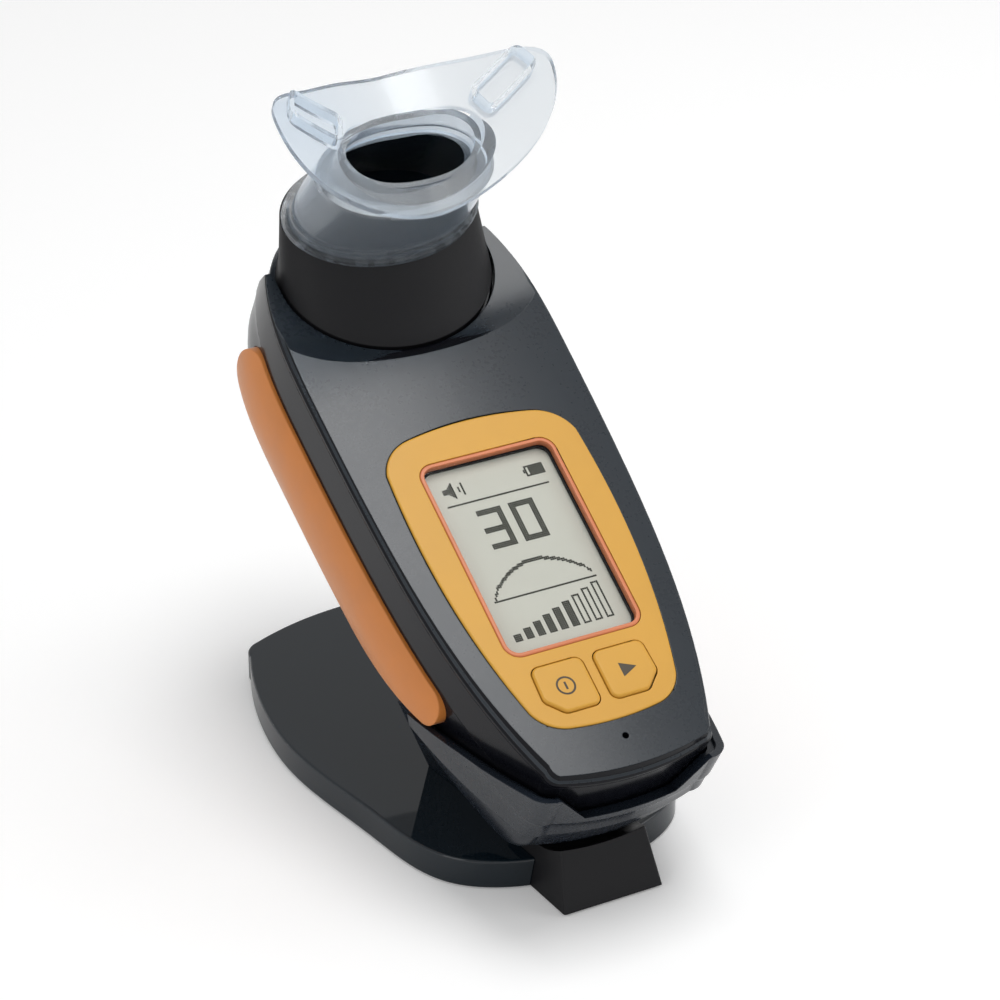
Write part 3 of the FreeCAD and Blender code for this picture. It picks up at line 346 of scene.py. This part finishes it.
def metal(name, colour, roughness):
    """Bare metal with a fine, uneven brushing"""
    brush_scale, brush_detail, brush_shade = 1500.0, 4.0, 0.8
    smoothest, roughest = roughness * 0.8, roughness * 1.3
    material, tree, shader = new_material(name)
    brush = noise(tree, object_place(tree), brush_scale, brush_detail)
    tree.links.new(spread(tree, brush, smoothest, roughest), shader.inputs["Roughness"])
    body = tinted(tree, spread(tree, brush, 0.0, 1.0), colour, scaled(colour, brush_shade))
    tree.links.new(body, shader.inputs["Base Color"])
    set_inputs(shader, {"Metallic": 1.0})
    return material


def paint(node_name, material, other=None, is_other=None):
    """Gives a CAD node its finish, and some of its faces another one

    is_other is asked with a face's middle in millimetres and its direction, both in the
    handset's own frame.
    """
    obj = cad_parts[node_name]
    obj.data.materials.clear()
    obj.data.materials.append(material)
    if other is None:
        for polygon in obj.data.polygons:
            polygon.material_index = 0
        return
    obj.data.materials.append(other)
    to_handset = HANDSET_FRAME.inverted()
    turn = to_handset.to_3x3()
    for polygon in obj.data.polygons:
        middle = (to_handset @ polygon.center) / MM
        polygon.material_index = int(is_other(middle, turn @ polygon.normal))


# Printed pieces


def mesh_piece(name, mesh, material, body):
    obj = bpy.data.objects.new(name, mesh)
    bpy.context.scene.collection.objects.link(obj)
    mesh.materials.append(material)
    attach(obj, body)


def flat_print(name, rings, height, thickness):
    """Ink printed on the handset: closed outlines in millimetres, raised by its thickness"""
    builder = bmesh.new()
    for ring in rings:
        low = [builder.verts.new(on_handset(x, y, height)) for x, y in ring]
        high = [builder.verts.new(on_handset(x, y, height + thickness)) for x, y in ring]
        builder.faces.new(high)
        count = len(ring)
        for i in range(count):
            builder.faces.new((low[i], low[(i + 1) % count], high[(i + 1) % count], high[i]))
    bmesh.ops.recalc_face_normals(builder, faces=builder.faces)
    mesh = bpy.data.meshes.new(name)
    builder.to_mesh(mesh)
    builder.free()
    return mesh


def power_rings(x, y, radius, stroke):
    """The power symbol: a ring of short pieces with an upright bar inside it"""
    pieces = 48
    bar_share, bar_width_share = 0.42, 0.55
    rings = []
    for i in range(pieces):
        a = 2 * math.pi * i / pieces
        b = 2 * math.pi * (i + 1) / pieces
        corners = [(radius, a), (radius, b), (radius - stroke, b), (radius - stroke, a)]
        rings.append([(x + r * math.cos(t), y + r * math.sin(t)) for r, t in corners])
    bar = radius * bar_share
    half = stroke * bar_width_share
    rings.append([(x - half, y - bar), (x + half, y - bar), (x + half, y + bar),
                  (x - half, y + bar)])
    return rings


def start_ring(x, y, radius):
    """The start symbol: a triangle that points to the right"""
    half_share, tip_share = 0.78, 1.15
    half = radius * half_share
    return [(x - half, y - half), (x + half * tip_share, y), (x - half, y + half)]


# The display picture, in pixels counted from the top left corner

# The bars of a seven-bar figure that each digit lights
SEGMENTS = {"0": "abcdef", "3": "abgcd"}


def fill(cells, x0, y0, width, height):
    for x in range(x0, x0 + width):
        for y in range(y0, y0 + height):
            cells.add((x, y))


def outline(cells, x0, y0, width, height):
    fill(cells, x0, y0, width, 1)
    fill(cells, x0, y0 + height - 1, width, 1)
    fill(cells, x0, y0, 1, height)
    fill(cells, x0 + width - 1, y0, 1, height)


def rule(cells, columns, y):
    margin = 4
    fill(cells, margin, y, columns - 2 * margin, 1)


def digit(cells, text, x0, y0, width, height, stroke):
    """One figure of seven bars"""
    half = height // 2
    bars = {
        "a": (x0, y0, width, stroke),
        "g": (x0, y0 + half - stroke // 2, width, stroke),
        "d": (x0, y0 + height - stroke, width, stroke),
        "f": (x0, y0, stroke, half + 1),
        "e": (x0, y0 + half, stroke, height - half),
        "b": (x0 + width - stroke, y0, stroke, half + 1),
        "c": (x0 + width - stroke, y0 + half, stroke, height - half),
    }
    for name in SEGMENTS[text]:
        fill(cells, *bars[name])


def battery_sign(cells, columns):
    """A battery that isn't quite full, at the top right"""
    width, height, top = 10, 6, 5
    left = columns - 13
    outline(cells, left, top, width, height)
    fill(cells, left - 1, top + 2, 1, height - 4)
    fill(cells, left + 2, top + 1, width - 3, height - 2)


def sound_sign(cells):
    """A speaker and two waves, at the top left"""
    left, top = 5, 7
    box_width, box_height, cone_depth = 2, 3, 4
    fill(cells, left, top, box_width, box_height)
    for step in range(cone_depth):
        fill(cells, left + box_width + step, top - step, 1, box_height + 2 * step)
    near_wave, far_wave = left + 8, left + 10
    fill(cells, near_wave, top, 1, box_height)
    fill(cells, far_wave, top - 2, 1, box_height + 4)


def load_figure(cells):
    """The set load, in two large figures"""
    left, top, width, height, stroke, pitch = 16, 22, 13, 22, 3, 17
    for place, text in enumerate("30"):
        digit(cells, text, left + pitch * place, top, width, height, stroke)


def flow_curve(cells, columns):
    """The flow of one breath, as a hump two pixels thick"""
    margin, foot, height, fullness = 5, 68, 15, 0.7
    for x in range(margin, columns - margin):
        phase = (x - margin) / (columns - 2 * margin)
        rise = round(height * math.sin(math.pi * phase) ** fullness)
        fill(cells, x, foot - rise, 1, 2)


def load_bars(cells):
    """Bars of growing height, filled up to the set load"""
    count, filled = 9, 6
    left, foot, width, pitch = 5, 93, 4, 6
    lowest, growth = 4, 2
    for step in range(count):
        height = lowest + growth * step
        draw = fill if step < filled else outline
        draw(cells, left + pitch * step, foot - height, width, height)


def display_cells(columns):
    """The dark pixels of the whole picture"""
    head_rule, curve_rule = 16, 70
    cells = set()
    battery_sign(cells, columns)
    sound_sign(cells)
    rule(cells, columns, head_rule)
    load_figure(cells)
    flow_curve(cells, columns)
    rule(cells, columns, curve_rule)
    load_bars(cells)
    return sorted(cells)


class TRAINER_OT_casing(Operator):
    """Finishes the gloss casing, the hood and the valve head"""
    bl_idname = "trainer.casing"
    bl_label = "Casing and valve head"

    def execute(self, context):
        colours = context.scene.trainer_colours
        cover = moulded("cover_satin", colours.cover, roughness=0.27, grain=0.01)
        side = moulded("side_gloss", colours.side, roughness=0.16, grain=0.005, specular=0.14)
        hood = moulded("hood_matte", colours.hood, roughness=0.5, grain=0.06, grain_scale=6000.0,
                       specular=0.25)
        head = moulded("head_gloss", colours.cover, roughness=0.2, grain=0.01, specular=0.4)
        paint("front_cover", cover, side, in_skirt)
        paint("mid_frame", side)
        paint("rear_cover", side)
        paint("valve_head_shell", head)
        paint("hood", hood)
        paint("inlet_grille", hood)
        return {"FINISHED"}


class TRAINER_OT_grips(Operator):
    """Finishes the two soft-touch side grips"""
    bl_idname = "trainer.grips"
    bl_label = "Side grips"

    def execute(self, context):
        finish = soft_touch("grip_soft_touch", context.scene.trainer_colours.grip)
        paint("grip_left", finish)
        paint("grip_right", finish)
        return {"FINISHED"}


class TRAINER_OT_bezel(Operator):
    """Finishes the bezel, the buttons, the window and its lip, with painted shade in the window recess
    """
    bl_idname = "trainer.bezel"
    bl_label = "Bezel and buttons"

    def execute(self, context):
        colours = context.scene.trainer_colours
        lacquer = moulded("bezel_pearl", colours.bezel, roughness=0.34, grain=0.03, grain_scale=7000.0,
                          mottling=0.06, specular=0.36)
        lip = moulded("lip_orange", colours.lip, roughness=0.35)
        # Painted shade: the bezel's walls in the window recess take this dark finish in the side
        # colour
        painted_shade = moulded("window_painted_shade", colours.side, roughness=0.5, specular=0.2)
        paint("bezel", lacquer, painted_shade, in_painted_recess_shade)
        paint("power_button", lacquer)
        paint("play_button", lacquer)
        paint("window_lip", lip)
        paint("display_window", clear_window("window_clear"))
        return {"FINISHED"}


class TRAINER_OT_symbols(Operator):
    """Prints the power and start symbols on the buttons"""
    bl_idname = "trainer.symbols"
    bl_label = "Button symbols"

    def execute(self, context):
        sizes = context.scene.trainer_sizes
        ink = moulded("button_ink", context.scene.trainer_colours.ink, roughness=0.4, wear=0.0)
        radius = sizes.symbol_radius / MM
        stroke = sizes.symbol_stroke / MM
        thickness = sizes.print_thickness / MM
        rings = power_rings(-BUTTON_X, BUTTON_Y, radius, stroke)
        mesh = flat_print("power_symbol", rings, BUTTON_TOP, thickness)
        mesh_piece("power_symbol", mesh, ink, "power_button")
        rings = [start_ring(BUTTON_X, BUTTON_Y, radius)]
        mesh = flat_print("start_symbol", rings, BUTTON_TOP, thickness)
        mesh_piece("start_symbol", mesh, ink, "play_button")
        return {"FINISHED"}


class TRAINER_OT_display(Operator):
    """Draws the display picture: battery, sound sign, figures, load bars and a flow curve"""
    bl_idname = "trainer.display"
    bl_label = "Display picture"

    def execute(self, context):
        sizes = context.scene.trainer_sizes
        colours = context.scene.trainer_colours
        gap_share, thickness = 0.06, 0.02
        rows, columns = sizes.pixel_rows, sizes.pixel_columns
        size = sizes.pixel / MM
        gap = size * gap_share
        rings = []
        for x, y in display_cells(columns):
            left = (x - columns / 2) * size + gap
            top = (rows / 2 - y) * size - gap
            right, low = left + size - 2 * gap, top - size + 2 * gap
            rings.append([(left, low), (right, low), (right, top), (left, top)])
        mesh = flat_print("display_picture", rings, DISPLAY_TOP, thickness)
        segment = moulded("display_segment", colours.segment, roughness=0.6, wear=0.0, specular=0.1)
        mesh_piece("display_picture", mesh, segment, "handset")
        panel = moulded("display_panel", colours.panel, roughness=0.5, grain=0.05, grain_scale=3000.0,
                        mottling=0.04, wear=0.0, specular=0.2)
        paint("display_module", panel)
        return {"FINISHED"}


class TRAINER_OT_mouthpiece(Operator):
    """Finishes the clear silicone mouthpiece"""
    bl_idname = "trainer.mouthpiece"
    bl_label = "Mouthpiece"

    def execute(self, context):
        colours = context.scene.trainer_colours
        silicone = clear_silicone("silicone_clear", colours.silicone, colours.silicone_edge)
        paint("mouthpiece", silicone)
        return {"FINISHED"}


class TRAINER_OT_cradle(Operator):
    """Finishes the cradle, its foot block and the contacts"""
    bl_idname = "trainer.cradle"
    bl_label = "Cradle"

    def execute(self, context):
        colours = context.scene.trainer_colours
        satin = moulded("cradle_satin", colours.cradle, roughness=0.26, grain=0.02)
        foot = moulded("foot_satin", colours.hood, roughness=0.3, grain=0.02, specular=0.22)
        socket = moulded("socket_black", colours.hood, roughness=0.5, grain=0.1)
        gold = metal("contact_gold", GOLD, roughness=0.2)
        paint("cradle", satin)
        paint("foot_block", foot)
        paint("contact_block", socket)
        paint("power_inlet", socket)
        for name in ("contact_pin_left", "contact_pin_right", "charge_pads"):
            paint(name, gold)
        return {"FINISHED"}


class TRAINER_OT_base(Operator):
    """Finishes the gloss base plate and what is under it"""
    bl_idname = "trainer.base"
    bl_label = "Base"

    def execute(self, context):
        colours = context.scene.trainer_colours
        gloss = moulded("base_gloss", colours.base, roughness=0.035, grain=0.003)
        under = moulded("base_under", colours.hood, roughness=0.55, grain=0.2)
        rubber = moulded("pad_rubber", PAD_RUBBER, roughness=0.8, grain=0.5, grain_scale=1500.0)
        paint("base_shell", gloss)
        paint("base_plate", under)
        paint("anti_slip_pad", rubber)
        paint("ballast", moulded("ballast_paint", BALLAST_PAINT, roughness=0.6, grain=0.4))
        paint("base_screws", metal("screw_zinc", ZINC, roughness=0.3))
        return {"FINISHED"}


class TRAINER_OT_insides(Operator):
    """Finishes the board, cell, motor, valve and screws inside"""
    bl_idname = "trainer.insides"
    bl_label = "Insides"

    def execute(self, context):
        board = moulded("board_green", BOARD_GREEN, roughness=0.35, grain=0.1, grain_scale=2500.0)
        block = moulded("component_black", COMPONENT_BLACK, roughness=0.5)
        white = moulded("acetal_white", ACETAL_WHITE, roughness=0.4)
        steel = metal("steel_plain", STEEL, roughness=0.28)
        cell = moulded("cell_wrap", CELL_WRAP, roughness=0.3, coat=0.3)
        for name, finish in (("main_board", board), ("charger_board", board), ("sounder", block),
                             ("button_switches", block), ("battery", cell), ("valve_motor", steel),
                             ("case_screws", steel), ("flap_shaft", steel),
                             ("motor_coupling", white), ("valve_flap", white)):
            paint(name, finish)
        return {"FINISHED"}


def area_light(name, power, location, target, width, height):
    data = bpy.data.lights.new(name, "AREA")
    data.shape = "RECTANGLE"
    data.size = width
    data.size_y = height
    data.energy = power
    lamp = bpy.data.objects.new(name, data)
    bpy.context.scene.collection.objects.link(lamp)
    lamp.location = location
    aim = Vector(target) - Vector(location)
    lamp.rotation_euler = aim.to_track_quat("-Z", "Y").to_euler()


class TRAINER_OT_stage(Operator):
    """Sets the pale floor, the soft lights, the white room and the camera"""
    bl_idname = "trainer.stage"
    bl_label = "Stage"

    def execute(self, context):
        scene = context.scene
        stage = scene.trainer_stage
        self.floor(scene, stage)
        self.room(scene, stage)
        area_light("overhead_light", stage.key_power, **OVERHEAD_LIGHT)
        area_light("left_light", stage.fill_power, **LEFT_LIGHT)
        area_light("right_light", stage.fill_power, **RIGHT_LIGHT)
        data = bpy.data.cameras.new("photo_camera")
        data.lens = stage.lens
        data.sensor_width = SENSOR_WIDTH_MM
        camera = bpy.data.objects.new("photo_camera", data)
        scene.collection.objects.link(camera)
        camera.location = CAMERA_PLACE
        camera.rotation_euler = Vector(CAMERA_VIEW).to_track_quat("-Z", "Y").to_euler()
        scene.camera = camera
        scene.view_settings.view_transform = "Standard"
        return {"FINISHED"}

    def floor(self, scene, stage):
        """A white table top with a little glow of its own, which only the camera sees"""
        mottle_scale, mottle_detail, mottle_lightness = 3.0, 3.0, 1.01
        material, tree, shader = new_material("floor_white")
        colour = scene.trainer_colours.floor
        mottle = noise(tree, object_place(tree), mottle_scale, mottle_detail)
        light = scaled(colour, mottle_lightness)
        tint = tinted(tree, spread(tree, mottle, 0.0, 1.0), colour, light)
        tree.links.new(tint, shader.inputs["Base Color"])
        set_inputs(shader, {"Roughness": 0.6, "Emission Color": opaque(WHITE)})
        seen = add_node(tree, "ShaderNodeLightPath").outputs["Is Camera Ray"]
        glow = spread(tree, seen, 0.0, stage.backdrop, 0.0, 1.0)
        tree.links.new(glow, shader.inputs["Emission Strength"])
        builder = bmesh.new()
        bmesh.ops.create_grid(builder, x_segments=FLOOR_SQUARES, y_segments=FLOOR_SQUARES,
                              size=FLOOR_HALF_SIDE)
        mesh = bpy.data.meshes.new("floor")
        builder.to_mesh(mesh)
        builder.free()
        mesh.materials.append(material)
        floor = bpy.data.objects.new("floor", mesh)
        scene.collection.objects.link(floor)

    def room(self, scene, stage):
        """A white room that lights evenly, and whose ceiling is darker in a reflection"""
        walls_end, ceiling_start = 0.1, 0.5
        world = bpy.data.worlds.new("white_room")
        scene.world = world
        world.use_nodes = True
        tree = world.node_tree
        background = tree.nodes["Background"]
        background.inputs["Color"].default_value = opaque(WHITE)
        rays = add_node(tree, "ShaderNodeLightPath").outputs
        toward = add_node(tree, "ShaderNodeSeparateXYZ")
        place = add_node(tree, "ShaderNodeTexCoord").outputs["Generated"]
        tree.links.new(place, toward.inputs[0])
        walls = spread(tree, toward.outputs["Z"], 1.0, stage.ceiling, walls_end, ceiling_start)
        mirrored = mix(tree, "FLOAT", rays["Is Glossy Ray"], stage.sky, walls)
        clear = combined(tree, "MAXIMUM", rays["Is Camera Ray"], rays["Is Transmission Ray"])
        strength = mix(tree, "FLOAT", clear, mirrored, 1.0)
        tree.links.new(strength, background.inputs["Strength"])


STEPS = (
    TRAINER_OT_casing,
    TRAINER_OT_grips,
    TRAINER_OT_bezel,
    TRAINER_OT_symbols,
    TRAINER_OT_display,
    TRAINER_OT_mouthpiece,
    TRAINER_OT_cradle,
    TRAINER_OT_base,
    TRAINER_OT_insides,
    TRAINER_OT_stage,
)


class TRAINER_PT_panel(Panel):
    bl_idname = "TRAINER_PT_panel"
    bl_label = "Breathing Trainer"
    bl_space_type = "VIEW_3D"
    bl_region_type = "UI"
    bl_category = "Trainer"

    def draw(self, context):
        layout = self.layout
        for settings in (context.scene.trainer_sizes, context.scene.trainer_colours,
                         context.scene.trainer_stage):
            column = layout.column()
            for name in settings.__annotations__:
                column.prop(settings, name)
        for step in STEPS:
            layout.operator(step.bl_idname)


CLASSES = (TrainerSizes, TrainerColours, TrainerStage, *STEPS, TRAINER_PT_panel)


def register():
    for cls in CLASSES:
        bpy.utils.register_class(cls)
    bpy.types.Scene.trainer_sizes = PointerProperty(type=TrainerSizes)
    bpy.types.Scene.trainer_colours = PointerProperty(type=TrainerColours)
    bpy.types.Scene.trainer_stage = PointerProperty(type=TrainerStage)


def unregister():
    del bpy.types.Scene.trainer_stage
    del bpy.types.Scene.trainer_colours
    del bpy.types.Scene.trainer_sizes
    for cls in reversed(CLASSES):
        bpy.utils.unregister_class(cls)


def main():
    register()
    bpy.ops.trainer.casing()
    bpy.ops.trainer.grips()
    bpy.ops.trainer.bezel()
    bpy.ops.trainer.symbols()
    bpy.ops.trainer.display()
    bpy.ops.trainer.mouthpiece()
    bpy.ops.trainer.cradle()
    bpy.ops.trainer.base()
    bpy.ops.trainer.insides()
    bpy.ops.trainer.stage()


if __name__ == "__main__":
    main()
